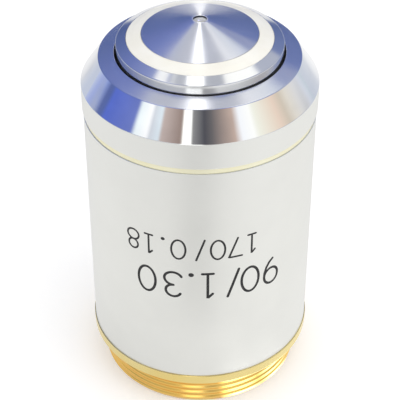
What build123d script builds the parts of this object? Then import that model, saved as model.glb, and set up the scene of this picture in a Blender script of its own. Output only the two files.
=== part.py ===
from build123d import *
import os
from math import radians, sqrt, tan

# A spring-loaded oil-immersion microscope objective, nose up, in millimetres.
# The optical axis is +Z. The origin is the centre of the end face of the mount thread.
# Heights are chained upwards from that face. Radii are chained outwards from the rear lens to the
# thread and the sleeve, and inwards again from the collar to the cone.

# Mount thread, and the flange that seats on the microscope. The walls between the rear lens and
# the thread add up to the 10.16 mm crest radius of the standard microscope thread.
thread_length = 3.8
thread_lead = 0.3
relief_width = 0.45
relief_depth = 0.45
flange_step = 0.1
flange_height = 1.0
mouth_wall = 1.56
rear_chamber_depth = 8.0
guide_length = 8.0

# Outer sleeve and the brass seam ring above it, 22.4 mm across
sleeve_length = 25.3
sleeve_wall = 1.25
seam_ring_inset = 0.08
seam_ring_height = 0.6

# Front collar: satin band, mirror bevel, conical top with the hole for the nose
collar_step = 0.1
collar_band_height = 2.7
collar_bevel_width = 1.76
collar_bevel_height = 2.6
collar_top_width = 1.5
collar_top_slope = 15.0
collar_lip_thickness = 2.35
collar_thread_length = 2.7

# Mount tube inside the sleeve
mount_tube_wall = 0.9

# Sprung nose
travel = 2.0
nose_gap = 0.18
nose_side_height = 0.92
nose_bevel_width = 0.96
nose_bevel_height = 0.46
nose_wall = 1.4
nose_web = 1.2
band_width = 1.42
band_depth = 0.55
cone_slope = 16.5
tip_radius = 0.75
cone_stem_step = 0.9

# Lens tube that slides in the mount
slide_flange_gap = 0.15
slide_flange_thickness = 1.6
lens_tube_wall = 1.35
spigot_length = 2.0
stack_lip_width = 1.6
stack_lip_thickness = 1.0
tail_past_nut = 0.45

# Spring and its washer
spring_wire_radius = 0.35
spring_turns = 9
spring_pocket_gap = 0.75
spring_inside_gap = 0.6
washer_thickness = 0.3

# Nuts, guide screw and baffle at the back
stop_gap = 0.05
stop_nut_thickness = 1.6
lock_nut_thickness = 1.5
nut_flange = 1.25
nut_gap = 0.4
screw_radius = 0.8
screw_height = 4.0
screw_clearance = 0.1
slot_depth = 0.9
screw_tip_gap = 0.2
baffle_set_back = 0.5
baffle_thickness = 1.2
baffle_width = 3.35
spanner_slot_width = 1.0
spanner_slot_depth = 0.6

# Optics, from the tip inwards
front_lens_radius = 1.1
front_lens_face = 0.62
front_lens_recess = 0.1
front_lens_thread_room = 1.1
second_cell_wall = 1.1
second_ring_length = 1.15
second_cell_lip = 0.5
meniscus_radius = 1.8
meniscus_ledge = 0.35
meniscus_edge = 0.7
front_ring_length = 0.63
front_cell_lip = 0.6
front_cell_wall = 2.5
front_doublet_ledge = 0.5
front_flint_edge = 1.5
front_crown_edge = 0.7
spacer_length = 2.0
spacer_wall = 1.15
rear_ring_length = 0.53
rear_cell_lip = 0.7
rear_cell_wall = 1.6
rear_doublet_radius = 3.9
rear_doublet_ledge = 0.6
rear_flint_edge = 1.9
rear_crown_edge = 0.8
retaining_ring_length = 1.2
retaining_ring_wall = 1.65
diaphragm_thickness = 0.8
diaphragm_width = 2.55
diaphragm_set_back = 0.5

# Sags of the lens surfaces, from edge to centre
meniscus_hollow = 0.35
meniscus_crown = 0.5
front_cement_sag = 0.7
front_rear_sag = 0.42
rear_cement_sag = 0.9
rear_rear_sag = 0.45

# Clearances and broken edges
screwed_fit = 0.05
running_fit = 0.06
cement_gap = 0.02
enamel_fit = 0.02
edge_break = 0.1
fine_break = 0.05
cut_overrun = 1.0

# Each lens cell is as long as its lip, its lenses and the ring that holds them
second_cell_length = second_cell_lip + meniscus_edge + second_ring_length + edge_break
front_lens_stack = front_flint_edge + cement_gap + front_crown_edge
front_cell_length = front_cell_lip + front_lens_stack + front_ring_length + fine_break
rear_lens_stack = rear_flint_edge + cement_gap + rear_crown_edge
rear_cell_length = rear_cell_lip + rear_lens_stack + rear_ring_length + fine_break

# Heights, upwards from the end face
shoulder_z = thread_length
sleeve_bottom = shoulder_z + flange_height
sleeve_top = sleeve_bottom + sleeve_length
collar_bottom = sleeve_top + seam_ring_height
bevel_bottom = collar_bottom + collar_band_height
collar_edge_z = bevel_bottom + collar_bevel_height
collar_top_z = collar_edge_z + collar_top_width * tan(radians(collar_top_slope))
lip_underside = collar_top_z - collar_lip_thickness
mount_tube_top = collar_bottom + collar_thread_length
spring_seat_z = rear_chamber_depth + guide_length

nose_shoulder_z = collar_top_z + nose_side_height
band_outer_z = nose_shoulder_z + nose_bevel_height
band_floor_z = band_outer_z - band_depth
nose_web_z = band_floor_z - nose_web

slide_flange_top = lip_underside - slide_flange_gap
slide_flange_bottom = slide_flange_top - slide_flange_thickness
washer_bottom = slide_flange_bottom - washer_thickness
lens_tube_top = slide_flange_top + spigot_length
stack_top = lens_tube_top - stack_lip_thickness
front_cell_bottom = stack_top - front_cell_length
spacer_bottom = front_cell_bottom - spacer_length
rear_cell_bottom = spacer_bottom - rear_cell_length
retaining_ring_bottom = rear_cell_bottom - retaining_ring_length

stop_nut_top = rear_chamber_depth - stop_gap
stop_nut_bottom = stop_nut_top - stop_nut_thickness
lock_nut_bottom = stop_nut_bottom - lock_nut_thickness
lens_tube_bottom = lock_nut_bottom - tail_past_nut
screw_z = rear_chamber_depth + screw_height

# Radii, outwards from the rear lens
cell_radius = rear_doublet_radius + screwed_fit + rear_cell_wall
lens_bore_radius = cell_radius + screwed_fit
lens_tube_radius = lens_bore_radius + lens_tube_wall
nut_radius = lens_tube_radius + nut_flange
mouth_radius = nut_radius + nut_gap
thread_radius = mouth_radius + mouth_wall
guide_bore_radius = lens_tube_radius + running_fit
coil_radius = lens_tube_radius + spring_inside_gap + spring_wire_radius
spring_bore_radius = coil_radius + spring_wire_radius + spring_pocket_gap
slide_flange_radius = spring_bore_radius - running_fit
mount_tube_radius = spring_bore_radius + mount_tube_wall
sleeve_bore_radius = mount_tube_radius + screwed_fit
sleeve_radius = sleeve_bore_radius + sleeve_wall
seam_ring_radius = sleeve_radius - seam_ring_inset
flange_radius = sleeve_radius + flange_step

# Clear radii and apertures on the optical axis
rear_doublet_clear = rear_doublet_radius - rear_doublet_ledge
front_doublet_radius = cell_radius - front_cell_wall - screwed_fit
front_doublet_clear = front_doublet_radius - front_doublet_ledge
diaphragm_aperture = cell_radius - diaphragm_width
baffle_radius = mouth_radius - screwed_fit
baffle_aperture = baffle_radius - baffle_width
meniscus_clear = meniscus_radius - meniscus_ledge
second_cell_radius = meniscus_radius + screwed_fit + second_cell_wall

# Radii, inwards from the collar to the cone
collar_radius = sleeve_radius + collar_step
collar_edge_radius = collar_radius - collar_bevel_width
collar_hole_radius = collar_edge_radius - collar_top_width
collar_bore_radius = mount_tube_radius + screwed_fit
nose_radius = collar_hole_radius - nose_gap
spigot_radius = nose_radius - nose_wall - screwed_fit
stack_lip_radius = lens_bore_radius - stack_lip_width
band_outer_radius = nose_radius - nose_bevel_width
band_inner_radius = band_outer_radius - band_width
cone_stem_radius = band_inner_radius - cone_stem_step

# Cone heights follow the slope from the band's outer edge
cone_rise = tan(radians(cone_slope))
band_inner_z = band_outer_z + band_width * cone_rise
tip_z = band_inner_z + (band_inner_radius - tip_radius) * cone_rise

# Front lens: a ball cut by the flat front face
front_face_z = tip_z - front_lens_recess
front_lens_z = front_face_z - sqrt(front_lens_radius**2 - front_lens_face**2)
lens_pocket_radius = front_lens_radius + cement_gap
tip_aperture = front_lens_face + cement_gap
second_bore_top = front_lens_z - front_lens_thread_room
second_cell_top = second_bore_top - stop_gap
second_cell_bottom = second_cell_top - second_cell_length


def save(piece, name):
    """Label the finished piece and write its STEP file."""
    piece.part.label = name
    export_step(piece.part, f"parts/{name}.step")


def ring(outer, inner, bottom, top):
    """A plain turned ring with its four edges broken."""
    with BuildPart() as turned:
        with BuildSketch(Plane.XY.offset(bottom)):
            Circle(outer)
            Circle(inner, mode=Mode.SUBTRACT)
        extrude(amount=top - bottom)
        chamfer(turned.edges().filter_by(GeomType.CIRCLE), fine_break)
    return turned


def slotted_ring(outer, inner, bottom, top):
    """A threaded ring with two spanner slots across its lower face."""
    with BuildPart() as turned:
        with BuildSketch(Plane.XY.offset(bottom)):
            Circle(outer)
            Circle(inner, mode=Mode.SUBTRACT)
        extrude(amount=top - bottom)
        chamfer(turned.edges().filter_by(GeomType.CIRCLE), fine_break)
        with BuildSketch(Plane.XY.offset(bottom)):
            Rectangle(2 * (outer + cut_overrun), spanner_slot_width)
            Circle(inner, mode=Mode.SUBTRACT)
        extrude(amount=spanner_slot_depth, mode=Mode.SUBTRACT)
    return turned


def lens(radius, bottom_clear, top_clear, bottom, top, bottom_sag, top_sag):
    """A lens turned about the axis. Its two faces are arcs over their clear radius, which bulge
    by a positive sag or are hollow by a negative one, with a flat rim outside the arc."""
    with BuildPart() as glass:
        with BuildSketch(Plane.XZ):
            with BuildLine():
                TangentArc((0, bottom - bottom_sag), (bottom_clear, bottom), tangent=(1, 0))
                if bottom_clear < radius:
                    Line((bottom_clear, bottom), (radius, bottom))
                Line((radius, bottom), (radius, top))
                if top_clear < radius:
                    Line((radius, top), (top_clear, top))
                if top_sag == 0:
                    Line((top_clear, top), (0, top))
                else:
                    TangentArc((0, top + top_sag), (top_clear, top), tangent=(1, 0))
                Line((0, top + top_sag), (0, bottom - bottom_sag))
            make_face()
        revolve(axis=Axis.Z)
    return glass


def lens_cell(outer, bore, aperture, bottom, top, lip):
    """A cell bored from below, with a lip at its top that the lens seats against."""
    with BuildPart() as cell:
        with BuildSketch(Plane.XY.offset(bottom)):
            Circle(outer)
            Circle(bore, mode=Mode.SUBTRACT)
        extrude(amount=top - bottom - lip)
        with BuildSketch(Plane.XY.offset(top - lip)):
            Circle(outer)
            Circle(aperture, mode=Mode.SUBTRACT)
        extrude(amount=lip)
        chamfer(cell.faces().sort_by(Axis.Z)[-1].edges(), fine_break)
        chamfer(cell.faces().sort_by(Axis.Z)[0].edges(), fine_break)
    return cell


os.makedirs("parts", exist_ok=True)

# Thread mount: one brass turning, with the mount thread and flange below and the tube that
# holds sleeve, collar and spring above. The fine thread itself is left to the visual model.
relief_radius = thread_radius - relief_depth
with BuildPart() as thread_mount:
    with BuildSketch(Plane.XZ):
        with BuildLine():
            Polyline(
                (mouth_radius, 0),
                (thread_radius - thread_lead, 0),
                (thread_radius, thread_lead),
                (thread_radius, shoulder_z - relief_width),
                (relief_radius, shoulder_z - relief_width),
                (relief_radius, shoulder_z),
                (flange_radius - edge_break, shoulder_z),
                (flange_radius, shoulder_z + edge_break),
                (flange_radius, sleeve_bottom - fine_break),
                (flange_radius - fine_break, sleeve_bottom),
                (mount_tube_radius, sleeve_bottom),
                (mount_tube_radius, mount_tube_top - edge_break),
                (mount_tube_radius - edge_break, mount_tube_top),
                (spring_bore_radius + edge_break, mount_tube_top),
                (spring_bore_radius, mount_tube_top - edge_break),
                (spring_bore_radius, spring_seat_z),
                (guide_bore_radius + edge_break, spring_seat_z),
                (guide_bore_radius, spring_seat_z - edge_break),
                (guide_bore_radius, rear_chamber_depth + edge_break),
                (guide_bore_radius + edge_break, rear_chamber_depth),
                (mouth_radius, rear_chamber_depth),
                close=True,
            )
        make_face()
    revolve(axis=Axis.Z)
    with BuildSketch(Plane.YZ):
        with Locations((0, screw_z)):
            Circle(screw_radius + screwed_fit)
    extrude(amount=mount_tube_radius + cut_overrun, mode=Mode.SUBTRACT)
save(thread_mount, "thread_mount")

# Outer sleeve: the satin chrome barrel, held between the flange and the seam ring
with BuildPart() as outer_sleeve:
    with BuildSketch(Plane.XY.offset(sleeve_bottom)):
        Circle(sleeve_radius)
        Circle(sleeve_bore_radius, mode=Mode.SUBTRACT)
    extrude(amount=sleeve_length)
    chamfer(outer_sleeve.edges().filter_by(GeomType.CIRCLE), edge_break)
save(outer_sleeve, "outer_sleeve")

# Seam ring: the thin brass ring that shows between sleeve and collar
seam_ring = ring(seam_ring_radius, sleeve_bore_radius, sleeve_top, collar_bottom)
save(seam_ring, "seam_ring")

# Front collar: screwed on the mount tube, with the lip that covers the spring chamber
with BuildPart() as front_collar:
    with BuildSketch(Plane.XZ):
        with BuildLine():
            Polyline(
                (collar_bore_radius + fine_break, collar_bottom),
                (collar_radius - edge_break, collar_bottom),
                (collar_radius, collar_bottom + edge_break),
                (collar_radius, bevel_bottom),
                (collar_edge_radius, collar_edge_z),
                (collar_hole_radius + fine_break, collar_top_z),
                (collar_hole_radius, collar_top_z - fine_break),
                (collar_hole_radius, lip_underside + fine_break),
                (collar_hole_radius + fine_break, lip_underside),
                (collar_bore_radius, lip_underside),
                (collar_bore_radius, collar_bottom + fine_break),
                close=True,
            )
        make_face()
    revolve(axis=Axis.Z)
    fillet(
        front_collar.edges()
        .filter_by(GeomType.CIRCLE)
        .filter_by_position(Axis.Z, bevel_bottom, collar_edge_z)
        .group_by(SortBy.RADIUS)[-2:],
        fine_break,
    )
save(front_collar, "front_collar")

# Nose barrel: the chrome front of the sprung nose, with a floor for the enamel band
with BuildPart() as nose_barrel:
    with BuildSketch(Plane.XZ):
        with BuildLine():
            Polyline(
                (spigot_radius + screwed_fit, slide_flange_top),
                (nose_radius - fine_break, slide_flange_top),
                (nose_radius, slide_flange_top + fine_break),
                (nose_radius, nose_shoulder_z),
                (band_outer_radius, band_outer_z),
                (band_outer_radius, band_floor_z),
                (cone_stem_radius + screwed_fit, band_floor_z),
                (cone_stem_radius + screwed_fit, nose_web_z),
                (spigot_radius + screwed_fit, nose_web_z),
                close=True,
            )
        make_face()
    revolve(axis=Axis.Z)
    fillet(
        nose_barrel.edges()
        .filter_by(GeomType.CIRCLE)
        .filter_by_position(Axis.Z, nose_shoulder_z - fine_break, nose_shoulder_z + fine_break),
        edge_break,
    )
save(nose_barrel, "nose_barrel")

# White band: enamel in the groove between the nose barrel and the cone
enamel_outer = band_outer_radius - enamel_fit
enamel_inner = band_inner_radius + enamel_fit
with BuildPart() as white_band:
    with BuildSketch(Plane.XZ):
        with BuildLine():
            Polyline(
                (enamel_inner, band_floor_z),
                (enamel_outer, band_floor_z),
                (enamel_outer, band_outer_z + enamel_fit * cone_rise),
                (enamel_inner, band_inner_z - enamel_fit * cone_rise),
                close=True,
            )
        make_face()
    revolve(axis=Axis.Z)
save(white_band, "white_band")

# Nose cone: the cell of the front lens, screwed into the nose barrel by its stem
pocket_top = front_lens_z + sqrt(lens_pocket_radius**2 - tip_aperture**2)
second_bore_radius = second_cell_radius + screwed_fit
with BuildPart() as nose_cone:
    with BuildSketch(Plane.XZ):
        with BuildLine():
            Polyline(
                (second_bore_radius, nose_web_z),
                (cone_stem_radius, nose_web_z),
                (cone_stem_radius, band_floor_z),
                (band_inner_radius, band_floor_z),
                (band_inner_radius, band_inner_z),
                (tip_radius, tip_z),
                (tip_aperture, tip_z),
                (tip_aperture, pocket_top),
            )
            CenterArc(
                (0, front_lens_z),
                lens_pocket_radius,
                0,
                Vector(tip_aperture, pocket_top - front_lens_z).get_angle(Vector(1, 0)),
            )
            Polyline(
                (lens_pocket_radius, front_lens_z),
                (lens_pocket_radius, second_bore_top),
                (second_bore_radius, second_bore_top),
                (second_bore_radius, nose_web_z),
            )
        make_face()
    revolve(axis=Axis.Z)
save(nose_cone, "nose_cone")

# Front lens: more than half a ball, its flat face in the tip of the cone
with BuildPart() as front_lens:
    with Locations((0, 0, front_lens_z)):
        Sphere(front_lens_radius)
    split(bisect_by=Plane.XY.offset(front_face_z), keep=Keep.BOTTOM)
save(front_lens, "front_lens")

# Second cell with its meniscus lens and the ring that holds it
meniscus_top = second_cell_top - second_cell_lip
meniscus_bottom = meniscus_top - meniscus_edge
second_cell = lens_cell(
    second_cell_radius,
    meniscus_radius + screwed_fit,
    meniscus_clear,
    second_cell_bottom,
    second_cell_top,
    second_cell_lip,
)
save(second_cell, "second_cell")
meniscus_lens = lens(
    meniscus_radius,
    meniscus_clear,
    meniscus_clear,
    meniscus_bottom,
    meniscus_top,
    meniscus_crown,
    -meniscus_hollow,
)
save(meniscus_lens, "meniscus_lens")
meniscus_ring = ring(
    meniscus_radius,
    meniscus_clear + fine_break,
    second_cell_bottom + edge_break,
    meniscus_bottom,
)
save(meniscus_ring, "meniscus_ring")

# Two cemented doublets. In each, the flat flint faces the nose and the crown is behind it.
doublets = [
    (
        "front",
        stack_top,
        front_cell_bottom,
        front_cell_lip,
        front_doublet_radius,
        front_doublet_clear,
        front_flint_edge,
        front_crown_edge,
        front_cement_sag,
        front_rear_sag,
    ),
    (
        "rear",
        spacer_bottom,
        rear_cell_bottom,
        rear_cell_lip,
        rear_doublet_radius,
        rear_doublet_clear,
        rear_flint_edge,
        rear_crown_edge,
        rear_cement_sag,
        rear_rear_sag,
    ),
]
for name, top, bottom, lip, radius, clear, flint_edge, crown_edge, cement_sag, rear_sag in doublets:
    flint_top = top - lip
    flint_bottom = flint_top - flint_edge
    crown_top = flint_bottom - cement_gap
    crown_bottom = crown_top - crown_edge
    cell = lens_cell(cell_radius, radius + screwed_fit, clear, bottom, top, lip)
    save(cell, f"{name}_doublet_cell")
    flint = lens(radius, radius, radius, flint_bottom, flint_top, -cement_sag, 0)
    save(flint, f"{name}_flint")
    crown = lens(radius, clear, radius, crown_bottom, crown_top, rear_sag, cement_sag)
    save(crown, f"{name}_crown")
    holder = ring(radius, clear + fine_break, bottom + fine_break, crown_bottom)
    save(holder, f"{name}_doublet_ring")

# Spacer tube between the doublet cells
spacer_ring = ring(cell_radius, cell_radius - spacer_wall, spacer_bottom, front_cell_bottom)
save(spacer_ring, "spacer_ring")

# Retaining ring that clamps the stack of cells from behind
retaining_ring = slotted_ring(
    cell_radius,
    cell_radius - retaining_ring_wall,
    retaining_ring_bottom,
    rear_cell_bottom,
)
save(retaining_ring, "retaining_ring")

# Lens tube: slides in the mount on its tail and on its flange, and carries the whole nose
slot_bottom = screw_z - screw_radius - screw_clearance
slot_top = screw_z + screw_radius + travel + screw_clearance
slot_floor = lens_tube_radius - slot_depth
with BuildPart() as lens_tube:
    with BuildSketch(Plane.XZ):
        with BuildLine():
            Polyline(
                (lens_bore_radius, lens_tube_bottom),
                (lens_tube_radius - edge_break, lens_tube_bottom),
                (lens_tube_radius, lens_tube_bottom + edge_break),
                (lens_tube_radius, slide_flange_bottom),
                (slide_flange_radius - edge_break, slide_flange_bottom),
                (slide_flange_radius, slide_flange_bottom + edge_break),
                (slide_flange_radius, slide_flange_top - edge_break),
                (slide_flange_radius - edge_break, slide_flange_top),
                (spigot_radius, slide_flange_top),
                (spigot_radius, lens_tube_top - edge_break),
                (spigot_radius - edge_break, lens_tube_top),
                (stack_lip_radius, lens_tube_top),
                (stack_lip_radius, stack_top),
                (lens_bore_radius, stack_top),
                close=True,
            )
        make_face()
    revolve(axis=Axis.Z)
    with BuildSketch(Plane.YZ.offset(slot_floor)):
        with Locations((0, (slot_bottom + slot_top) / 2)):
            SlotOverall(slot_top - slot_bottom, 2 * (screw_radius + screw_clearance), rotation=90)
    extrude(amount=slot_depth + cut_overrun, mode=Mode.SUBTRACT)
save(lens_tube, "lens_tube")

# Guide screw: a slotted grub screw in the mount tube, whose tip stops the nose from turning
with BuildPart() as guide_screw:
    with BuildSketch(Plane.YZ.offset(slot_floor + screw_tip_gap)):
        with Locations((0, screw_z)):
            Circle(screw_radius)
    extrude(amount=mount_tube_radius - edge_break - slot_floor - screw_tip_gap)
    chamfer(guide_screw.edges().filter_by(GeomType.CIRCLE), fine_break)
    with BuildSketch(Plane.YZ.offset(mount_tube_radius - edge_break)):
        with Locations((0, screw_z)):
            Rectangle(2 * (screw_radius + cut_overrun), screw_radius / 3)
    extrude(amount=-screw_radius / 2, mode=Mode.SUBTRACT)
save(guide_screw, "guide_screw")

# Spring: a compression spring round the lens tube, its end turns ground flat on the seats
spring_pitch = (washer_bottom - spring_seat_z) / spring_turns
with BuildPart() as spring:
    with BuildLine() as coil:
        Helix(
            spring_pitch,
            washer_bottom - spring_seat_z,
            coil_radius,
            center=(0, 0, spring_seat_z),
        )
    with BuildSketch(Plane(coil.line @ 0, z_dir=coil.line % 0)):
        Circle(spring_wire_radius)
    sweep(is_frenet=True)
    split(bisect_by=Plane.XY.offset(spring_seat_z), keep=Keep.TOP)
    split(bisect_by=Plane.XY.offset(washer_bottom), keep=Keep.BOTTOM)
save(spring, "spring")

# Spring washer under the flange of the lens tube
spring_washer = ring(
    slide_flange_radius - running_fit,
    lens_tube_radius + screwed_fit,
    washer_bottom,
    slide_flange_bottom,
)
save(spring_washer, "spring_washer")

# Stop nut and lock nut on the tail of the lens tube, which set how far the nose stands out
stop_nut = slotted_ring(nut_radius, lens_tube_radius + screwed_fit, stop_nut_bottom, stop_nut_top)
save(stop_nut, "stop_nut")
lock_nut = slotted_ring(nut_radius, lens_tube_radius + screwed_fit, lock_nut_bottom, stop_nut_bottom)
save(lock_nut, "lock_nut")

# Rear diaphragm in the tail of the lens tube, and the baffle ring in the rear mouth
rear_diaphragm = ring(
    cell_radius,
    diaphragm_aperture,
    lens_tube_bottom + diaphragm_set_back,
    lens_tube_bottom + diaphragm_set_back + diaphragm_thickness,
)
save(rear_diaphragm, "rear_diaphragm")
rear_baffle = slotted_ring(
    baffle_radius,
    baffle_aperture,
    baffle_set_back,
    baffle_set_back + baffle_thickness,
)
save(rear_baffle, "rear_baffle")
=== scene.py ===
# A spring-loaded oil-immersion microscope objective that stands on its mount thread, nose up.
# The sections follow the objective as it is put together. Sizes are in millimetres, and each mesh is
# brought to metres when it is made. The optical axis is Z.
import math

import bpy
import numpy as np
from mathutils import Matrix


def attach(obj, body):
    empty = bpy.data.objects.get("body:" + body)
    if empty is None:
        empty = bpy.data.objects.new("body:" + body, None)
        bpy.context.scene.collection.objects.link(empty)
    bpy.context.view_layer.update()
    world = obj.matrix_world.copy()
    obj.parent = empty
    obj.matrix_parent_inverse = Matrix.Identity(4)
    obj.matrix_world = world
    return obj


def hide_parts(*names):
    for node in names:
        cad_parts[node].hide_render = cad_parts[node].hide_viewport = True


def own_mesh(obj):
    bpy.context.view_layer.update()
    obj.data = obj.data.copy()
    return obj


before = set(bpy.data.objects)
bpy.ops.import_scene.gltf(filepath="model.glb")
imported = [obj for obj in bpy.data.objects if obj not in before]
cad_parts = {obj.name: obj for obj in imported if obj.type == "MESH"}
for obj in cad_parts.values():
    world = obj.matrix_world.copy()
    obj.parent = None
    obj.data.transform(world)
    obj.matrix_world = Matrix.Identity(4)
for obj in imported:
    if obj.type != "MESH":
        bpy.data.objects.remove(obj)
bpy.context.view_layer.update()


# Studio: a pale bench top under the objective, a white room, and the camera on a stand in front,
# looking down at the nose. The bench keeps a faint shadow round the thread. The camera's lens, place
# and tilt are the ones at which the circular edges of the model meet those in the photograph.
scene = bpy.context.scene
scene.view_settings.view_transform = "Standard"

camera_data = bpy.data.cameras.new("camera")
camera_data.sensor_width = 36.0
camera_data.lens = 119.02
camera = bpy.data.objects.new("camera", camera_data)
camera_tilt = 37.608
camera.location = (0.0, -0.10625, 0.10048)
camera.rotation_euler = (math.radians(90 - camera_tilt), 0.0, 0.0)
scene.collection.objects.link(camera)
scene.camera = camera


def node(tree, kind, **settings):
    """One shader node, with its settings and, by name or number, the values of its sockets."""
    made = tree.nodes.new(kind)
    sockets = settings.pop("sockets", {})
    for key, value in settings.items():
        setattr(made, key, value)
    for key, value in sockets.items():
        made.inputs[key].default_value = value
    return made


def colour(red, green, blue):
    """A colour read off as 0 to 255, as linear light: each channel over 255, to the power 2.2."""
    return (*(np.array((red, green, blue)) / 255.0) ** 2.2, 1.0)


def maths(tree, operation, first, second=None, third=None, clamp=False):
    """One Math node; a number is set on its socket and an output is linked to it."""
    made = node(tree, "ShaderNodeMath", operation=operation, use_clamp=clamp)
    for place, value in enumerate((first, second, third)):
        if value is None:
            continue
        if isinstance(value, (int, float)):
            made.inputs[place].default_value = value
        else:
            tree.links.new(value, made.inputs[place])
    return made.outputs[0]


def ramp(tree, value, stops):
    """A colour ramp with stops of (place from 0 to 1, colour). The places are all set before the
    first colour, because setting a place can move a stop in the list."""
    made = node(tree, "ShaderNodeValToRGB")
    steps = made.color_ramp.elements
    while len(steps) < len(stops):
        steps.new(0.5)
    for number, stop in enumerate(stops):
        steps[number].position = stop[0]
    for number, stop in enumerate(stops):
        steps[number].color = stop[1]
    tree.links.new(value, made.inputs[0])
    return made.outputs["Color"]


def way_round(tree, x, y):
    """The way round from the side away from the camera, as 0 to 1, with 0.5 in front."""
    turn = maths(tree, "ARCTAN2", x, maths(tree, "MULTIPLY", y, -1.0))
    return maths(tree, "MULTIPLY_ADD", turn, 0.5 / math.pi, 0.5)


# In the metal the bench shows painted light: an emission, shown to rays off polished faces,
# whose tone, as 0 to 255, changes with the way round, in degrees from the camera's side. Right under
# the thread and round the flange it is painted lamp light from a lamp on the right, further out a
# painted shadow of the camera stand, and far away a painted blue from the walls. A tone over 255 is
# the lamp's painted glare. The rings are the distances from the axis, in metres, over which one set
# of tones goes into the next.
thread_tones = [
    (-100, 232),
    (-70, 226),
    (-35, 220),
    (-15, 228),
    (13, 234),
    (22, 560),
    (34, 540),
    (42, 330),
    (52, 520),
    (60, 460),
    (70, 262),
    (100, 250),
]
flange_tones = [
    (-120, 243),
    (-70, 224),
    (-35, 226),
    (-15, 232),
    (14, 236),
    (30, 240),
    (70, 244),
    (100, 250),
]
middle_tones = [(-144, 245), (-72, 241), (-29, 237), (20, 241), (50, 249), (108, 249)]
far_tones = [
    (-172, (244, 244, 246)),
    (-145, (216, 218, 222)),
    (-132, (190, 198, 216)),
    (130, (198, 204, 216)),
    (145, (217, 220, 226)),
    (172, (244, 244, 246)),
]
stand_tones = [(-22, 255), (-9, 222), (5, 222), (17, 255)]
flange_ring = (0.0126, 0.0137)
middle_ring = (0.0170, 0.0195)
far_ring = (0.08, 0.2)
stand_ring = (0.022, 0.036)
white = (1.0, 1.0, 1.0, 1.0)
bench_grey = (0.82, 0.82, 0.82, 1.0)
bench_glow = 0.3
sheen_share = 0.9
bench_half = 1.5
bench_drop = 0.00002
bench_material = bpy.data.materials.new("bench_white")
bench_material.use_nodes = True
tree = bench_material.node_tree
tree.nodes.clear()
bench_ray = node(tree, "ShaderNodeLightPath")
bench_place = node(tree, "ShaderNodeTexCoord")
bench_parts = node(tree, "ShaderNodeSeparateXYZ")
tree.links.new(bench_place.outputs["Object"], bench_parts.inputs[0])
bench_round = way_round(tree, bench_parts.outputs[0], bench_parts.outputs[1])
bench_square = maths(tree, "MULTIPLY", bench_parts.outputs[0], bench_parts.outputs[0])
bench_square = maths(tree, "MULTIPLY_ADD", bench_parts.outputs[1], bench_parts.outputs[1], bench_square)
bench_reach = maths(tree, "SQRT", bench_square)


def stretch(tree, value, low, high):
    """The value from low to high as 0 to 1, eased and held at both ends."""
    made = node(
        tree,
        "ShaderNodeMapRange",
        interpolation_type="SMOOTHSTEP",
        sockets={"From Min": low, "From Max": high},
    )
    tree.links.new(value, made.inputs["Value"])
    return made.outputs["Result"]


def blended(tree, share, first, second):
    """First colour where share is 0, second where it is 1."""
    made = node(tree, "ShaderNodeMix", data_type="RGBA")
    for socket, value in ((0, share), (6, first), (7, second)):
        if isinstance(value, (int, float, tuple)):
            made.inputs[socket].default_value = value
        else:
            tree.links.new(value, made.inputs[socket])
    return made.outputs[2]


def tone_ramp(tree, turn, tones):
    """Tones at places round the table, given as (degrees, a grey or a colour)."""
    stops = []
    for degrees, tone in tones:
        shade = tone if isinstance(tone, tuple) else (tone, tone, tone)
        stops.append(((degrees + 180) / 360, colour(*shade)))
    return ramp(tree, turn, stops)


bench_painted_light = tone_ramp(tree, bench_round, thread_tones)
for tones, ring in ((flange_tones, flange_ring), (middle_tones, middle_ring), (far_tones, far_ring)):
    bench_painted_light = blended(
        tree, stretch(tree, bench_reach, *ring), bench_painted_light, tone_ramp(tree, bench_round, tones)
    )
# Painted shadow of the camera stand, laid over the painted tones from the stand ring outwards.
stand_shade = tone_ramp(tree, bench_round, stand_tones)
stand_shade = blended(tree, stretch(tree, bench_reach, *stand_ring), white, stand_shade)
bench_shaded = node(tree, "ShaderNodeMix", data_type="RGBA", blend_type="MULTIPLY", sockets={0: 1.0})
tree.links.new(bench_painted_light, bench_shaded.inputs[6])
tree.links.new(stand_shade, bench_shaded.inputs[7])
bench_paint = node(tree, "ShaderNodeBsdfDiffuse", sockets={"Color": bench_grey})
bench_white = node(tree, "ShaderNodeEmission", sockets={"Color": white, "Strength": bench_glow})
# The bench's painted light and shade glow here, as an emission that only rays off polished faces see.
bench_sheen = node(tree, "ShaderNodeEmission", sockets={"Strength": 1.0})
tree.links.new(bench_shaded.outputs[2], bench_sheen.inputs["Color"])
bench_seen = node(tree, "ShaderNodeAddShader")
tree.links.new(bench_paint.outputs[0], bench_seen.inputs[0])
tree.links.new(bench_white.outputs[0], bench_seen.inputs[1])
bench_in_metal = node(tree, "ShaderNodeMixShader")
bench_direct = maths(
    tree, "MULTIPLY_ADD", bench_ray.outputs["Diffuse Depth"], -sheen_share, sheen_share, clamp=True
)
bench_gloss = maths(tree, "MULTIPLY", bench_ray.outputs["Is Glossy Ray"], bench_direct)
tree.links.new(bench_gloss, bench_in_metal.inputs[0])
tree.links.new(bench_paint.outputs[0], bench_in_metal.inputs[1])
tree.links.new(bench_sheen.outputs[0], bench_in_metal.inputs[2])
bench_mix = node(tree, "ShaderNodeMixShader")
bench_out = node(tree, "ShaderNodeOutputMaterial")
tree.links.new(bench_ray.outputs["Is Camera Ray"], bench_mix.inputs[0])
tree.links.new(bench_in_metal.outputs[0], bench_mix.inputs[1])
tree.links.new(bench_seen.outputs[0], bench_mix.inputs[2])
tree.links.new(bench_mix.outputs[0], bench_out.inputs["Surface"])

bench_mesh = bpy.data.meshes.new("bench")
bench_sides = ((-1, -1), (1, -1), (1, 1), (-1, 1))
bench_mesh.from_pydata(
    [(side_x * bench_half, side_y * bench_half, -bench_drop) for side_x, side_y in bench_sides],
    [],
    [(0, 1, 2, 3)],
)
bench_mesh.materials.append(bench_material)
bench = bpy.data.objects.new("bench", bench_mesh)
scene.collection.objects.link(bench)

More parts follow.
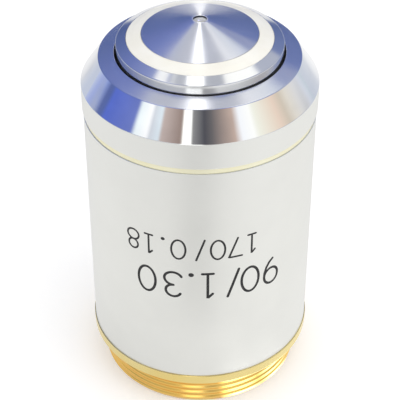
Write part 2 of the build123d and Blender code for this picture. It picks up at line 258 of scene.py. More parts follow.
# The room that the polished metal shows. Round the table stand these things, each as (from, to,
# colour at the start, colour at the end), in degrees from the camera's side.
round_the_table = [
    (-180, -152, (255, 255, 255), (238, 240, 244)),  # pale wall behind
    (-145, -127, (222, 226, 230), (188, 198, 224)),  # the same wall in blue light
    (-120, -111, (160, 172, 218), (140, 157, 214)),
    (-104, -100, (92, 106, 160), (90, 106, 164)),  # its door post
    (-96, -66.5, (92, 112, 202), (112, 126, 194)),  # blue cloth
    (-62.5, -51.5, (242, 252, 254), (262, 262, 262)),  # white card
    (-48, -40, (214, 219, 226), (224, 236, 243)),  # pale wall
    (-37.5, -18.5, (194, 178, 172), (150, 132, 124)),  # brown curtain
    (-15.6, -9.8, (300, 300, 294), (300, 300, 294)),  # narrow lamp
    (-7, 4.5, (140, 140, 140), (84, 84, 90)),  # camera stand
    (12, 34, (108, 105, 106), (194, 172, 160)),  # second brown curtain
    (41, 52, (248, 250, 253), (257, 257, 253)),  # white card
    (57, 74, (242, 242, 228), (234, 218, 200)),  # cream wall
    (79, 88, (232, 210, 192), (208, 196, 179)),
    (96, 118, (224, 218, 206), (212, 216, 226)),  # grey wall
    (124, 134, (198, 207, 216), (204, 210, 218)),
]

world = bpy.data.worlds.new("room")
scene.world = world
world.use_nodes = True
tree = world.node_tree
tree.nodes.clear()
room_way = node(tree, "ShaderNodeTexCoord")
room_parts = node(tree, "ShaderNodeSeparateXYZ")
tree.links.new(room_way.outputs["Generated"], room_parts.inputs[0])
room_x, room_y, room_z = room_parts.outputs[0], room_parts.outputs[1], room_parts.outputs[2]
room_round = way_round(tree, room_x, room_y)
room_stops = []
for start, end, first, last in round_the_table:
    room_stops += [((start + 180) / 360, colour(*first)), ((end + 180) / 360, colour(*last))]
room_horizon = ramp(tree, room_round, room_stops)
lowest_rise = 0.03
room_over = maths(tree, "MAXIMUM", room_z, lowest_rise)
ceiling_x = maths(tree, "DIVIDE", room_x, room_over)
ceiling_y = maths(tree, "DIVIDE", room_y, room_over)


def panel(tree, left, right, front, back, edge):
    """Share of a ceiling panel, by x over height and y over height: 1 inside its four sides, 0
    outside, with a soft edge."""
    share = stretch(tree, ceiling_x, left - edge, left + edge)
    for line, start, stop in (
        (ceiling_x, right + edge, right - edge),
        (ceiling_y, front - edge, front + edge),
        (ceiling_y, back + edge, back - edge),
    ):
        share = maths(tree, "MULTIPLY", share, stretch(tree, line, start, stop))
    return share


# The upper walls and the ceiling are blue, paler towards the top and the right. In the ceiling
# are panels, each as (left, right, front, back, soft edge, colour), with the later over the earlier.
room_blue = ramp(
    tree,
    room_z,
    [
        (0.08, colour(86, 102, 152)),
        (0.42, colour(96, 112, 166)),
        (0.66, colour(112, 126, 186)),
        (0.85, colour(142, 154, 206)),
    ],
)
room_blue = blended(tree, stretch(tree, room_x, 0.1, 0.8), room_blue, colour(128, 142, 184))
ceiling_panels = [
    (-0.29, 0.26, -1.2, 0.95, 0.04, colour(188, 191, 201)),  # grey ceiling over the table
    (0.245, 0.42, 0.30, 0.93, 0.03, colour(200, 205, 214)),  # paler part on its right
    (0.28, 0.48, 0.72, 0.97, 0.03, colour(250, 255, 255)),  # white board
    (0.53, 1.40, 0.15, 1.30, 0.16, colour(182, 187, 204)),  # wide dim board with soft edges
    (0.235, 0.595, -0.20, 0.64, 0.02, (1.2, 1.2, 1.17, 1.0)),  # window on the right
    (-0.285, -0.235, -0.10, 0.40, 0.012, colour(222, 224, 228)),  # post beside the left window
    (-0.445, -0.315, -0.10, 0.47, 0.02, (1.1, 1.1, 1.1, 1.0)),  # window on the left
    (-0.125, 0.038, -0.35, 0.30, 0.008, (1.8, 1.8, 1.8, 1.0)),  # long lamp, wide end
    (-0.060, 0.036, 0.28, 1.30, 0.008, (1.8, 1.8, 1.8, 1.0)),  # long lamp, narrow end
    (-0.060, 0.036, 1.28, 30.0, 0.008, (4.0, 4.0, 4.0, 1.0)),  # and its bulb
]
room_ceiling = room_blue
for left, right, front, back, edge, shade in ceiling_panels:
    room_ceiling = blended(tree, panel(tree, left, right, front, back, edge), room_ceiling, shade)

# Two lines round the room both rise towards the camera's side: what stands round the table shows
# between them, the ceiling above the upper one, and the front edge of the table below the lower one.
room_front = maths(tree, "MULTIPLY_ADD", room_y, -0.5, 0.5)
lower_line = maths(tree, "MULTIPLY_ADD", room_front, 0.45, -0.03)
upper_line = maths(tree, "MULTIPLY_ADD", room_front, 0.75, -0.04)
low_height = maths(tree, "SUBTRACT", room_z, lower_line)
room_height = maths(tree, "SUBTRACT", room_z, upper_line)
low_front = ramp(
    tree,
    room_round,
    [
        (0.30, colour(176, 180, 188)),
        (0.448, colour(216, 217, 216)),
        (0.455, colour(320, 320, 312)),
        (0.503, colour(320, 320, 312)),
        (0.512, colour(176, 174, 170)),
        (0.545, colour(186, 184, 180)),
        (0.565, colour(250, 250, 244)),
        (0.62, colour(236, 236, 230)),
        (0.72, colour(190, 190, 190)),
    ],
)
room_side = blended(tree, stretch(tree, low_height, -0.03, 0.03), low_front, room_horizon)
room_side = blended(tree, stretch(tree, room_front, 0.24, 0.36), room_horizon, room_side)
room_shade = blended(tree, stretch(tree, room_height, -0.05, 0.06), room_side, room_ceiling)

# A lit gap in the door behind the table draws the white line down the back of the cone. To rays that
# don't come off a polished face the room is a plain pale grey, and to the camera it is white.
door_gap = stretch(tree, maths(tree, "ABSOLUTE", room_x), 0.026, 0.012)
door_gap = maths(tree, "MULTIPLY", door_gap, stretch(tree, room_y, 0.7, 0.8))
room_shade = blended(tree, door_gap, room_shade, (1.6, 1.6, 1.6, 1.0))
room_ray = node(tree, "ShaderNodeLightPath")
room_grey = (0.92, 0.92, 0.92, 1.0)
room_show = blended(tree, room_ray.outputs["Is Glossy Ray"], room_grey, room_shade)
room_show = blended(tree, room_ray.outputs["Is Camera Ray"], room_show, white)
room_light = node(tree, "ShaderNodeBackground", sockets={"Strength": 1.0})
room_out = node(tree, "ShaderNodeOutputWorld")
tree.links.new(room_show, room_light.inputs["Color"])
tree.links.new(room_light.outputs[0], room_out.inputs["Surface"])

key_data = bpy.data.lights.new("key_lamp", "AREA")
key_data.shape = "DISK"
key_data.size = 0.25
key_data.energy = 0.2
key_lamp = bpy.data.objects.new("key_lamp", key_data)
key_lamp.location = (0.12, -0.10, 0.30)
key_lamp.rotation_euler = (math.radians(20), math.radians(25), 0.0)
key_lamp.visible_glossy = False
scene.collection.objects.link(key_lamp)


# Thread mount: one brass turning, lacquered, with the standard mount thread of 36 turns to the inch
# below its flange, and the thin tube above that carries sleeve, seam ring and collar.
thread_radius = 10.16
thread_pitch = 0.7056
thread_depth = 0.14
thread_start = 0.30
thread_end = 3.34
thread_row_count = 90
thread_bevel = 0.3
relief_radius = 9.71
relief_bottom = 3.36
flange_radius = 11.3
flange_bottom = 3.8
flange_top = 4.8
mouth_radius = 8.6
rear_chamber_top = 8.0
guide_bore_radius = 7.01
spring_seat = 16.0
spring_bore_radius = 9.0
mount_tube_radius = 9.9
mount_tube_top = 33.4


def eased(outline, radius, steps=4, reach=0.03):
    """The closed outline with each corner replaced by a curve: with corner P and the points A and B
    on its two sides at the radius away, the curve is (1-s)^2 A + 2s(1-s) P + s^2 B. A further point
    just outside A and B keeps the shading of the straight runs flat."""
    corner = np.asarray(outline, dtype=float)
    back = np.roll(corner, 1, axis=0) - corner
    ahead = np.roll(corner, -1, axis=0) - corner
    back_length = np.linalg.norm(back, axis=1, keepdims=True)
    ahead_length = np.linalg.norm(ahead, axis=1, keepdims=True)
    shorter = np.minimum(back_length, ahead_length)
    cut = np.minimum(np.asarray(radius, dtype=float).reshape(-1, 1), 0.4 * shorter)
    reach = np.minimum(reach, 0.08 * shorter)
    a = corner + back / back_length * cut
    b = corner + ahead / ahead_length * cut
    s = np.linspace(0.0, 1.0, steps + 1)[None, :, None]
    curve = (1 - s) ** 2 * a[:, None] + 2 * s * (1 - s) * corner[:, None] + s**2 * b[:, None]
    before = (a + back / back_length * reach)[:, None]
    after = (b + ahead / ahead_length * reach)[:, None]
    return np.concatenate([before, curve, after], axis=1).reshape(-1, 2)


def smooth_mesh(name, points, faces, material):
    """A mesh object from points in millimetres, smooth shaded, with its material."""
    mesh = bpy.data.meshes.new(name)
    mesh.from_pydata(points * 0.001, [], faces)
    mesh.polygons.foreach_set("use_smooth", np.ones(len(mesh.polygons), dtype=bool))
    mesh.materials.append(material)
    mesh.update()
    piece = bpy.data.objects.new(name, mesh)
    scene.collection.objects.link(piece)
    return piece


def turned(name, outline, material, segments=256, cut=None):
    """A turned piece: point (r, z) of the closed outline, carried round the axis, stands at
    (r cos t, r sin t, z) at angle t. The optional cut gives r at (t, r, z), for a thread."""
    outline = np.asarray(outline, dtype=float)
    following = np.roll(outline, -1, axis=0)
    area = np.sum(outline[:, 0] * following[:, 1] - following[:, 0] * outline[:, 1])
    if area < 0:
        outline = outline[::-1]
    t = np.linspace(0.0, 2 * np.pi, segments, endpoint=False)[None, :]
    r = outline[:, :1] + 0 * t
    z = outline[:, 1:] + 0 * t
    if cut is not None:
        r = cut(t, r, z)
    points = np.stack([r * np.cos(t), r * np.sin(t), z], axis=-1).reshape(-1, 3)
    row = np.arange(len(outline))[:, None]
    column = np.arange(segments)[None, :]
    next_row = (row + 1) % len(outline)
    next_column = (column + 1) % segments
    faces = np.stack(
        [
            row * segments + column,
            row * segments + next_column,
            next_row * segments + next_column,
            next_row * segments + column,
        ],
        axis=-1,
    )
    return smooth_mesh(name, points, faces.reshape(-1, 4), material)


def lathe_coordinates(tree):
    """Object coordinates as (distance from the axis, height, turn round the axis)."""
    place = node(tree, "ShaderNodeTexCoord")
    split = node(tree, "ShaderNodeSeparateXYZ")
    tree.links.new(place.outputs["Object"], split.inputs[0])
    square = maths(tree, "MULTIPLY", split.outputs[0], split.outputs[0])
    total = maths(tree, "MULTIPLY_ADD", split.outputs[1], split.outputs[1], square)
    radius = maths(tree, "SQRT", total)
    turn = maths(tree, "ARCTAN2", split.outputs[1], split.outputs[0])
    return place.outputs["Object"], radius, split.outputs[2], turn


def turned_metal(
    name, shade, roughness, mark, mark_depth, anisotropy=0.0, blotch=0.06, tint=None, metallic=1.0
):
    """Metal from a lathe. Fine tool marks run round the axis: noise read at (r/mark, z/mark) with
    r, z and mark in mm, slowly changing with the turn, as bump and as a small change of roughness.
    A slow noise in space varies the colour between shade and tint, and the roughness."""
    material = bpy.data.materials.new(name)
    material.use_nodes = True
    tree = material.node_tree
    shader = tree.nodes["Principled BSDF"]
    shader.inputs["Metallic"].default_value = metallic
    shader.inputs["Anisotropic"].default_value = anisotropy
    place, radius, height, turn = lathe_coordinates(tree)
    joined = node(tree, "ShaderNodeCombineXYZ")
    tree.links.new(maths(tree, "MULTIPLY", radius, 1000.0 / mark), joined.inputs[0])
    tree.links.new(maths(tree, "MULTIPLY", height, 1000.0 / mark), joined.inputs[1])
    tree.links.new(maths(tree, "MULTIPLY", turn, 0.35), joined.inputs[2])
    marks = node(tree, "ShaderNodeTexNoise", sockets={"Scale": 1.0, "Detail": 4.0, "Roughness": 0.6})
    tree.links.new(joined.outputs[0], marks.inputs["Vector"])
    slow = node(tree, "ShaderNodeTexNoise", sockets={"Scale": 160.0, "Detail": 3.0, "Roughness": 0.55})
    tree.links.new(place, slow.inputs["Vector"])
    bump = node(
        tree,
        "ShaderNodeBump",
        sockets={"Strength": mark_depth, "Distance": mark * 0.0001},
    )
    tree.links.new(marks.outputs["Fac"], bump.inputs["Height"])
    tree.links.new(bump.outputs["Normal"], shader.inputs["Normal"])
    drift = maths(tree, "MULTIPLY_ADD", marks.outputs["Fac"], 0.12 * roughness, 0.94 * roughness)
    drift = maths(tree, "SUBTRACT", drift, 0.15 * roughness)
    drift = maths(tree, "MULTIPLY_ADD", slow.outputs["Fac"], 0.3 * roughness, drift)
    tree.links.new(drift, shader.inputs["Roughness"])
    deep = tint if tint is not None else tuple(0.93 * v for v in shade[:3]) + (1.0,)
    share = stretch(tree, slow.outputs["Fac"], 0.5 - blotch * 4, 0.5 + blotch * 4)
    tree.links.new(blended(tree, share, deep, shade), shader.inputs["Base Color"])
    if anisotropy > 0:
        round_axis = node(tree, "ShaderNodeTangent", direction_type="RADIAL", axis="Z")
        tree.links.new(round_axis.outputs[0], shader.inputs["Tangent"])
        shader.inputs["Anisotropic Rotation"].default_value = 0.25
    return material


def by_height(piece, choose):
    """Gives each face the material number that choose returns for its radius and height in mm."""
    count = len(piece.data.polygons)
    centre = np.empty(count * 3)
    piece.data.polygons.foreach_get("center", centre)
    centre = centre.reshape(-1, 3) * 1000
    number = choose(np.hypot(centre[:, 0], centre[:, 1]), centre[:, 2])
    piece.data.polygons.foreach_set("material_index", number.astype(np.int32))


mount_brass = turned_metal(
    "mount_brass",
    colour(255, 235, 164),
    roughness=0.18,
    mark=0.06,
    mark_depth=0.3,
    tint=colour(250, 223, 142),
)
# A darker, deeper gold copy of the same brass for the thread's faces: painted shade and painted
# reflection of brass in brass between the turns, not a different metal.
thread_brass_painted_shade = turned_metal(
    "thread_brass_painted_shade",
    colour(255, 214, 124),
    roughness=0.2,
    mark=0.06,
    mark_depth=0.3,
    tint=colour(250, 200, 104),
)


def mount_thread(t, r, z):
    """The thread: its radius is the crest's less depth (1 - cos p) / 2, with p as 2 pi z / pitch
    less the turn t, worn round at crest and root. It never stands outside the turned outline."""
    phase = 2 * np.pi * z / thread_pitch - t
    groove = thread_radius - thread_depth * (1.0 - np.cos(phase)) / 2
    threaded = (r > 9.5) & (z < relief_bottom) & (z > 0.02)
    return np.where(threaded, np.minimum(r, groove), r)


thread_rows = np.linspace(thread_start, thread_end, thread_row_count)
bevel_rows = np.linspace(0.27, 0.02, 8)
mount_below = eased(
    [
        (mount_tube_radius, flange_top),
        (flange_radius, flange_top),
        (flange_radius, flange_bottom),
        (relief_radius, flange_bottom),
        (relief_radius, relief_bottom),
    ],
    0.07,
)[5:-5]
mount_above = eased(
    [
        (thread_radius - thread_bevel, 0.0),
        (mouth_radius, 0.0),
        (mouth_radius, rear_chamber_top),
        (guide_bore_radius, rear_chamber_top),
        (guide_bore_radius, spring_seat),
        (spring_bore_radius, spring_seat),
        (spring_bore_radius, mount_tube_top),
        (mount_tube_radius, mount_tube_top),
    ],
    0.08,
)[5:]
mount_outline = np.concatenate(
    [
        mount_below,
        np.stack([np.full(thread_row_count, thread_radius), thread_rows[::-1]], axis=1),
        np.stack([thread_radius - thread_bevel + bevel_rows, bevel_rows], axis=1),
        mount_above,
    ]
)
thread_mount = turned("brass_mount", mount_outline, mount_brass, segments=320, cut=mount_thread)
thread_mount.data.materials.append(thread_brass_painted_shade)
# The thread's faces take the painted-shade copy of the brass; the rest of the turning takes the plain
# brass.
by_height(thread_mount, lambda r, z: np.where((z < 3.6) & (r > 9.4), 1, 0))
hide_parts("thread_mount")
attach(thread_mount, "mount")


# Inside the mount: the blackened baffle ring in the rear mouth, and the steel guide screw in the
# wall, whose tip keeps the lens tube from turning. Both are plain turnings and keep the CAD's shape.
def dressed(name, material):
    """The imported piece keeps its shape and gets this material."""
    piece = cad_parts[name]
    for slot in piece.material_slots:
        slot.link = "OBJECT"
        slot.material = material


blackening = bpy.data.materials.new("blackening")
blackening.use_nodes = True
tree = blackening.node_tree
shader = tree.nodes["Principled BSDF"]
shader.inputs["Roughness"].default_value = 0.6
black_place = node(tree, "ShaderNodeTexCoord")
black_grain = node(tree, "ShaderNodeTexNoise", sockets={"Scale": 2600.0, "Detail": 3.0})
tree.links.new(black_place.outputs["Object"], black_grain.inputs["Vector"])
black_tone = blended(
    tree,
    stretch(tree, black_grain.outputs["Fac"], 0.35, 0.7),
    (0.012, 0.012, 0.013, 1.0),
    (0.035, 0.034, 0.034, 1.0),
)
tree.links.new(black_tone, shader.inputs["Base Color"])
black_bump = node(tree, "ShaderNodeBump", sockets={"Strength": 0.3, "Distance": 0.00002})
tree.links.new(black_grain.outputs["Fac"], black_bump.inputs["Height"])
tree.links.new(black_bump.outputs["Normal"], shader.inputs["Normal"])
dressed("rear_baffle", blackening)
steel = turned_metal("turned_steel", colour(196, 197, 200), roughness=0.28, mark=0.08, mark_depth=0.3)
dressed("guide_screw", steel)


# Spring: drawn steel wire wound into one even coil round the lens tube, its ends ground flat on the
# seat in the mount and on the washer. In the objective it shortens as the nose goes in; here the coil is
# made at one length.
spring_wire = turned_metal(
    "spring_wire", colour(176, 178, 184), roughness=0.32, mark=0.2, mark_depth=0.2
)
spring_coil_radius = 7.9
spring_wire_radius = 0.35
spring_turns = 9
spring_top = 32.0019


def coiled(name, coil_radius, wire_radius, turns, bottom, top, material, sides=16, steps=60):
    """A wire round a helix: at share s of its length the wire's middle is at turn a = 2 pi turns s,
    distance coil_radius from the axis and height bottom + (top - bottom) s, and its skin stands
    wire_radius from there at angle v. Both ends are ground flat, so no height leaves bottom to top."""
    s = np.linspace(0.0, 1.0, turns * steps + 1)[:, None]
    v = np.linspace(0.0, 2 * np.pi, sides, endpoint=False)[None, :]
    a = 2 * np.pi * turns * s
    rise = math.atan2(top - bottom, 2 * np.pi * turns * coil_radius)
    out = coil_radius + wire_radius * np.cos(v)
    back = wire_radius * np.sin(v) * math.sin(rise)
    height = bottom + (top - bottom) * s + wire_radius * np.sin(v) * math.cos(rise)
    points = np.stack(
        [
            out * np.cos(a) + back * np.sin(a),
            out * np.sin(a) - back * np.cos(a),
            np.clip(height, bottom, top),
        ],
        axis=-1,
    ).reshape(-1, 3)
    row = np.arange(turns * steps)[:, None] * sides
    side = np.arange(sides)[None, :]
    beside = (side + 1) % sides
    quads = np.stack([row + side, row + sides + side, row + sides + beside, row + beside], axis=-1)
    start = list(range(sides))
    stop = [turns * steps * sides + k for k in reversed(range(sides))]
    return smooth_mesh(name, points, quads.reshape(-1, 4).tolist() + [start, stop], material)


spring_coil = coiled(
    "spring_coil",
    spring_coil_radius,
    spring_wire_radius,
    spring_turns,
    spring_seat,
    spring_top,
    spring_wire,
)
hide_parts("spring")
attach(spring_coil, "mount")
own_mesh(spring_coil)


# Outer sleeve: a brass tube with satin chrome plating, brushed round the axis, pushed over the
# mount tube and held between flange and seam ring.
sleeve_radius = 11.2
sleeve_bore_radius = 9.95
sleeve_top = 30.1
satin_chrome = turned_metal(
    "satin_chrome",
    colour(250, 250, 245),
    roughness=0.40,
    mark=0.05,
    mark_depth=0.25,
    blotch=0.1,
    tint=colour(243, 243, 238),
)
outer_sleeve = turned(
    "satin_sleeve",
    eased(
        [
            (sleeve_bore_radius, flange_top),
            (sleeve_radius, flange_top),
            (sleeve_radius, sleeve_top),
            (sleeve_bore_radius, sleeve_top),
        ],
        0.05,
    ),
    satin_chrome,
)
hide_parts("outer_sleeve")
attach(outer_sleeve, "mount")


# Numbers: two rows engraved upside down round the sleeve and filled with black, as a plain
# example of what such a sleeve carries. Each stroke is a thin closed strip, let into the plating,
# with its face a hair proud.
def arc(x, y, width, height, start, stop, count=24):
    """Points of an ellipse about (x, y), from the start to the stop angle in degrees."""
    v = np.radians(np.linspace(start, stop, count))
    return np.stack([x + width * np.cos(v), y + height * np.sin(v)], axis=1)


# Each figure is a list of strokes in a cell of height 1, with its middle at 0.31 across.
figure_middle = 0.31
figures = {
    "0": [arc(0.31, 0.5, 0.29, 0.48, 90, 450, 48)],
    "1": [
        np.array([(0.16, 0.82), (0.31, 0.98), (0.31, 0.03)]),
        np.array([(0.14, 0.02), (0.48, 0.02)]),
    ],
    "3": [arc(0.29, 0.75, 0.24, 0.23, 155, -90), arc(0.29, 0.27, 0.28, 0.25, 90, -155)],
    "7": [np.array([(0.03, 0.97), (0.58, 0.97), (0.22, 0.02)])],
    "8": [arc(0.31, 0.75, 0.22, 0.23, -90, 270, 40), arc(0.31, 0.27, 0.27, 0.25, 90, 450, 40)],
    "9": [
        arc(0.31, 0.68, 0.26, 0.3, 0, 360, 40),
        np.array([(0.57, 0.68), (0.56, 0.5), (0.5, 0.3), (0.4, 0.13), (0.27, 0.02)]),
    ],
    "/": [np.array([(0.08, -0.03), (0.42, 1.0)])],
    ".": [arc(0.31, 0.06, 0.03, 0.02, 0, 360, 12)],
}
stroke_proud = 0.006
stroke_sunk = 0.03


def strip(path, width, row_height, middle, across):
    """One stroke of a figure as a closed strip wrapped round the sleeve. Its two edges stand half
    the width from the path, along the path's normal, wider at a corner by one over the cosine of
    its half turn, and close in to a round end. On the sleeve a figure is upside down: it reads
    against the angle, and its top points down."""
    path = np.asarray(path) * row_height
    fine = np.arange(0.0, len(path) - 1 + 1e-9, 1.0 if len(path) > 8 else 0.05)
    path = np.stack([np.interp(fine, np.arange(len(path)), path[:, k]) for k in (0, 1)], axis=1)
    closed = np.allclose(path[0], path[-1])
    along = np.gradient(path, axis=0)
    if closed:
        along[0] = along[-1] = path[1] - path[-2]
    along = along / np.linalg.norm(along, axis=1, keepdims=True)
    normal = np.stack([-along[:, 1], along[:, 0]], axis=1)
    half = np.full(len(path), width / 2)
    step = path[2:] - path[1:-1]
    corner = np.einsum("ij,ij->i", normal[1:-1], np.stack([-step[:, 1], step[:, 0]], axis=1))
    corner = corner / np.linalg.norm(step, axis=1)
    half[1:-1] = half[1:-1] / np.clip(corner, 0.6, 1.0)
    if closed:
        path, normal, half = path[:-1], normal[:-1], half[:-1]
    else:
        close = np.array([1.0, 0.85, 0.55])[:, None]
        narrow = np.array([0.12, 0.53, 0.84])
        before = path[:1] - along[:1] * close * width / 2
        beyond = path[-1:] + along[-1:] * close[::-1] * width / 2
        path = np.concatenate([before, path, beyond])
        normal = np.concatenate([np.repeat(normal[:1], 3, 0), normal, np.repeat(normal[-1:], 3, 0)])
        half = np.concatenate([narrow * width / 2, half, narrow[::-1] * width / 2])
    edges = np.stack([path + normal * half[:, None], path - normal * half[:, None]], axis=1)
    angle = (across - edges[..., 0] + figure_middle * row_height) / sleeve_radius
    height = middle - (edges[..., 1] - 0.5 * row_height)
    radius = np.array([sleeve_radius + stroke_proud, sleeve_radius - stroke_sunk])[None, None, :]
    angle, height = angle[..., None], height[..., None]
    points = np.stack(
        [radius * np.sin(angle), -radius * np.cos(angle), height + 0 * radius], axis=-1
    )
    count = len(points)
    points = points.reshape(count, 4, 3)[:, [0, 2, 3, 1]].reshape(-1, 3)
    row = np.arange(count if closed else count - 1)[:, None]
    side = np.arange(4)[None, :]
    following = (row + 1) % count
    faces = np.stack(
        [
            row * 4 + side,
            row * 4 + (side + 1) % 4,
            following * 4 + (side + 1) % 4,
            following * 4 + side,
        ],
        axis=-1,
    ).reshape(-1, 4)
    if not closed:
        last = 4 * count - 4
        faces = np.concatenate([faces, [[3, 2, 1, 0]], [[last, last + 1, last + 2, last + 3]]])
    return points, faces


def engraved(name, words, places, row_height, width, middle):
    """All strokes of one row in one mesh; each figure's middle stands at its place across, the arc
    length from the front of the sleeve."""
    points, faces, used = [], [], 0
    for figure, across in zip(words, places):
        for path in figures[figure]:
            pen = width * (1.3 if figure == "." else 1.0)
            stroke, quads = strip(path, pen, row_height, middle, across)
            points.append(stroke)
            faces.append(quads + used)
            used += len(stroke)
    piece = smooth_mesh(name, np.concatenate(points), np.concatenate(faces).tolist(), blackening)
    piece.data.polygons.foreach_set("use_smooth", np.zeros(len(piece.data.polygons), dtype=bool))
    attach(piece, "mount")


engraved(
    "numbers_large",
    "90/1.30",
    (7.4, 5.0, 3.05, 0.75, -0.85, -2.65, -5.3),
    row_height=3.15,
    width=0.27,
    middle=16.85,
)
engraved(
    "numbers_small",
    "170/0.18",
    (5.05, 3.4, 1.7, -0.1, -2.05, -3.55, -5.0, -6.7),
    row_height=2.35,
    width=0.2,
    middle=21.25,
)


# Seam ring: a thin ring turned from pale brass, lacquered, and held between sleeve and collar. It
# stands a little inside both, so it shows as a fine line.
seam_ring_radius = 11.12
seam_ring_top = 30.7
seam_brass = turned_metal(
    "seam_brass",
    colour(255, 252, 224),
    roughness=0.3,
    mark=0.05,
    mark_depth=0.3,
    tint=colour(250, 244, 204),
    metallic=0.5,
)
seam_ring = turned(
    "seam_ring_turned",
    eased(
        [
            (sleeve_bore_radius, sleeve_top),
            (seam_ring_radius, sleeve_top),
            (seam_ring_radius, seam_ring_top),
            (sleeve_bore_radius, seam_ring_top),
        ],
        0.05,
    ),
    seam_brass,
)
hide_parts("seam_ring")
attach(seam_ring, "mount")


# Front collar: plated brass, screwed on the mount tube. Its band is satin, its bevel is polished
# like a mirror, and its top is faced on the lathe.
collar_radius = 11.3
collar_band_top = 33.4
collar_edge_radius = 9.54
collar_edge_z = 36.0
collar_mouth_radius = 8.04
collar_mouth_top = 36.402
collar_lip_underside = 34.05
collar_outline = eased(
    [
        (sleeve_bore_radius, seam_ring_top),
        (collar_radius, seam_ring_top),
        (collar_radius, collar_band_top),
        (collar_edge_radius, collar_edge_z),
        (collar_mouth_radius, collar_mouth_top),
        (collar_mouth_radius, collar_lip_underside),
        (sleeve_bore_radius, collar_lip_underside),
    ],
    [0.05, 0.1, 0.05, 0.05, 0.06, 0.05, 0.05],
)
collar_mirror = turned_metal(
    "collar_mirror",
    colour(252, 253, 255),
    roughness=0.04,
    mark=0.12,
    mark_depth=0.04,
    blotch=0.02,
    tint=colour(244, 245, 248),
)
faced_chrome = turned_metal(
    "faced_chrome",
    colour(240, 241, 246),
    roughness=0.2,
    mark=0.04,
    mark_depth=0.15,
    anisotropy=0.85,
)
front_collar = turned("collar_turned", collar_outline, satin_chrome)
front_collar.data.materials.append(collar_mirror)
front_collar.data.materials.append(faced_chrome)


def collar_finish(r, z):
    """1, the mirror, on the bevel; 2, the lathe's face, on the top; 0, the satin, elsewhere."""
    bevel = (z > collar_band_top) & (r > collar_edge_radius - 0.01)
    top = (z > collar_edge_z - 0.1) & (r > collar_mouth_radius - 0.02)
    return np.where(bevel, 1, np.where(top, 2, 0))


by_height(front_collar, collar_finish)
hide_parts("front_collar")
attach(front_collar, "mount")


# Nose barrel: the front of the sprung nose, turned from brass, plated and screwed on the lens tube,
# with a short bevel up to the groove of the white band.
nose_radius = 7.86
nose_bottom = 33.9
nose_shoulder_z = 37.322
nose_bore_radius = 6.46
nose_web_z = 36.03
band_groove_radius = 6.90
band_edge_z = 37.782
band_floor_z = 37.23
cone_stem_bore_radius = 4.63
nose_chrome = turned_metal(
    "nose_chrome",
    colour(240, 241, 242),
    roughness=0.12,
    mark=0.06,
    mark_depth=0.08,
    anisotropy=0.4,
)
nose_barrel = turned(
    "nose_barrel_turned",
    eased(
        [
            (nose_bore_radius, nose_bottom),
            (nose_radius, nose_bottom),
            (nose_radius, nose_shoulder_z),
            (band_groove_radius, band_edge_z),
            (band_groove_radius, band_floor_z),
            (cone_stem_bore_radius, band_floor_z),
            (cone_stem_bore_radius, nose_web_z),
            (nose_bore_radius, nose_web_z),
        ],
        [0.05, 0.05, 0.06, 0.03, 0.03, 0.03, 0.03, 0.03],
    ),
    nose_chrome,
)
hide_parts("nose_barrel")
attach(nose_barrel, "nose")


# White band: enamel run into the groove round the cone and rubbed flush, a little proud in the
# middle as paint dries.
band_inner_radius = 5.50
band_outer_radius = 6.88
enamel = bpy.data.materials.new("white_enamel")
enamel.use_nodes = True
tree = enamel.node_tree
shader = tree.nodes["Principled BSDF"]
shader.inputs["Roughness"].default_value = 0.22
shader.inputs["Coat Weight"].default_value = 0.4
shader.inputs["Coat Roughness"].default_value = 0.08
enamel_place = node(tree, "ShaderNodeTexCoord")
enamel_noise = node(tree, "ShaderNodeTexNoise", sockets={"Scale": 420.0, "Detail": 3.0})
tree.links.new(enamel_place.outputs["Object"], enamel_noise.inputs["Vector"])
enamel_tone = blended(
    tree,
    stretch(tree, enamel_noise.outputs["Fac"], 0.3, 0.7),
    colour(242, 239, 228),
    colour(247, 245, 237),
)
tree.links.new(enamel_tone, shader.inputs["Base Color"])
enamel_bump = node(tree, "ShaderNodeBump", sockets={"Strength": 0.05, "Distance": 0.00002})
tree.links.new(enamel_noise.outputs["Fac"], enamel_bump.inputs["Height"])
tree.links.new(enamel_bump.outputs["Normal"], shader.inputs["Normal"])
white_band = turned(
    "white_band_enamel",
    eased(
        [
            (band_inner_radius, band_floor_z),
            (band_outer_radius, band_floor_z),
            (band_outer_radius, 37.79),
            (6.2, 38.02),
            (band_inner_radius, 38.19),
        ],
        0.05,
    ),
    enamel,
)
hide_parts("white_band")
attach(white_band, "nose")


# Nose cone: the cell of the front lens, turned and plated, screwed into the nose barrel by its stem.
# The tool left rings on its face, so light draws rays from tip to rim.
cone_foot_radius = 5.48
cone_foot_z = 38.203
cone_stem_radius = 4.58
cone_bore_radius = 3.0
cone_bore_top = 37.495
tip_radius = 0.75
tip_z = 39.604
tip_hole_radius = 0.64
ball_radius = 1.12
ball_middle_z = 38.595
nose_cone = turned(
    "nose_cone_turned",
    eased(
        [
            (cone_bore_radius, nose_web_z),
            (cone_stem_radius, nose_web_z),
            (cone_stem_radius, band_floor_z),
            (cone_foot_radius, band_floor_z),
            (cone_foot_radius, cone_foot_z),
            (tip_radius, tip_z),
            (tip_hole_radius, tip_z),
            (tip_hole_radius, 39.514),
            (0.854, 39.32),
            (1.019, 39.06),
            (ball_radius, ball_middle_z),
            (ball_radius, cone_bore_top),
            (cone_bore_radius, cone_bore_top),
        ],
        [0.03, 0.03, 0.03, 0.03, 0.03, 0.09, 0.03, 0.02, 0.05, 0.05, 0.05, 0.03, 0.03],
    ),
    faced_chrome,
)
# The short wall of the tip's hole, above the lens face, is black.
nose_cone.data.materials.append(blackening)
by_height(nose_cone, lambda r, z: np.where((r < tip_hole_radius + 0.005) & (z > 39.3), 1, 0))
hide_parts("nose_cone")
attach(nose_cone, "nose")
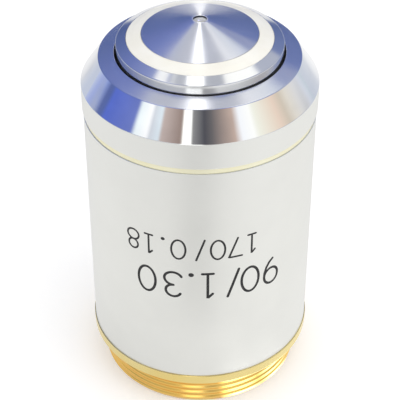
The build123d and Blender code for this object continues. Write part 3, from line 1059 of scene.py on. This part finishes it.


# Front lens: more than half a ball of glass, set a hair below the tip, with its flat face out. The
# short wall of the tip's hole above it is black.
lens_radius = 1.1
lens_face_z = 39.503
lens_glass = bpy.data.materials.new("lens_glass")
lens_glass.use_nodes = True
tree = lens_glass.node_tree
shader = tree.nodes["Principled BSDF"]
shader.inputs["Base Color"].default_value = (0.93, 0.97, 0.96, 1.0)
shader.inputs["Roughness"].default_value = 0.02
shader.inputs["IOR"].default_value = 1.8
shader.inputs["Transmission Weight"].default_value = 1.0
shader.inputs["Coat Weight"].default_value = 1.0
shader.inputs["Coat Roughness"].default_value = 0.02
shader.inputs["Coat IOR"].default_value = 1.9


def ball_cut(name, centre, radius, face, material, segments=128):
    """A ball with a flat face: rows of latitude from the lower pole, at radius sin v and centre -
    radius cos v, up to the face, and one point in the middle of the face."""
    top = math.acos(-(face - centre) / radius)
    v = np.linspace(0.0, top, 49)[1:]
    t = np.linspace(0.0, 2 * np.pi, segments, endpoint=False)[None, :]
    rim = radius * math.sin(top)
    r = np.concatenate([radius * np.sin(v), rim * np.array([0.985, 0.5])])[:, None]
    z = np.concatenate([centre - radius * np.cos(v), [face, face]])[:, None]
    grid = np.stack([r * np.cos(t), r * np.sin(t), z + 0 * t], axis=-1).reshape(-1, 3)
    points = np.concatenate([grid, [[0.0, 0.0, centre - radius], [0.0, 0.0, face]]])
    row = np.arange(len(r) - 1)[:, None]
    column = np.arange(segments)[None, :]
    ahead = (column + 1) % segments
    sides = np.stack(
        [
            row * segments + column,
            row * segments + ahead,
            (row + 1) * segments + ahead,
            (row + 1) * segments + column,
        ],
        axis=-1,
    ).reshape(-1, 4)
    low_pole, high_pole = len(grid), len(grid) + 1
    last = (len(r) - 1) * segments
    column, ahead = column[0], ahead[0]
    bottom = np.stack([0 * column + low_pole, ahead, column], axis=-1)
    lid = np.stack([last + column, last + ahead, 0 * column + high_pole], axis=-1)
    return smooth_mesh(name, points, sides.tolist() + bottom.tolist() + lid.tolist(), material)


front_lens = ball_cut("front_lens_glass", ball_middle_z, lens_radius, lens_face_z, lens_glass)
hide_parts("front_lens")
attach(front_lens, "nose")


# Lens tube: the sliding brass tube that carries the nose, with the steel washer under its flange,
# the two steel nuts on its tail, the blackened aperture disc in it and the ring that clamps the cells.
tube_brass = turned_metal("tube_brass", colour(232, 204, 140), roughness=0.26, mark=0.06, mark_depth=0.4)
dressed("lens_tube", tube_brass)
for name in ("stop_nut", "lock_nut", "spring_washer"):
    dressed(name, steel)
for name in ("rear_diaphragm", "retaining_ring"):
    dressed(name, blackening)


# Cells: brass cups turned for their lenses, with the threaded rings that hold the lenses in them and
# the plain ring that spaces two of them. They are stacked in the lens tube.
cell_brass = turned_metal("cell_brass", colour(228, 198, 130), roughness=0.22, mark=0.05, mark_depth=0.3)
for name in (
    "second_cell",
    "meniscus_ring",
    "front_doublet_cell",
    "front_doublet_ring",
    "spacer_ring",
    "rear_doublet_cell",
    "rear_doublet_ring",
):
    dressed(name, cell_brass)


# Inner lenses: a meniscus and two cemented doublets of ground and polished glass, with a thin
# coating against reflections that leaves them a faint violet.
coated_glass = lens_glass.copy()
coated_glass.name = "coated_glass"
shader = coated_glass.node_tree.nodes["Principled BSDF"]
shader.inputs["IOR"].default_value = 1.58
shader.inputs["Coat IOR"].default_value = 1.38
shader.inputs["Coat Tint"].default_value = (0.97, 0.95, 1.0, 1.0)
for name in ("meniscus_lens", "front_flint", "front_crown", "rear_flint", "rear_crown"):
    dressed(name, coated_glass)
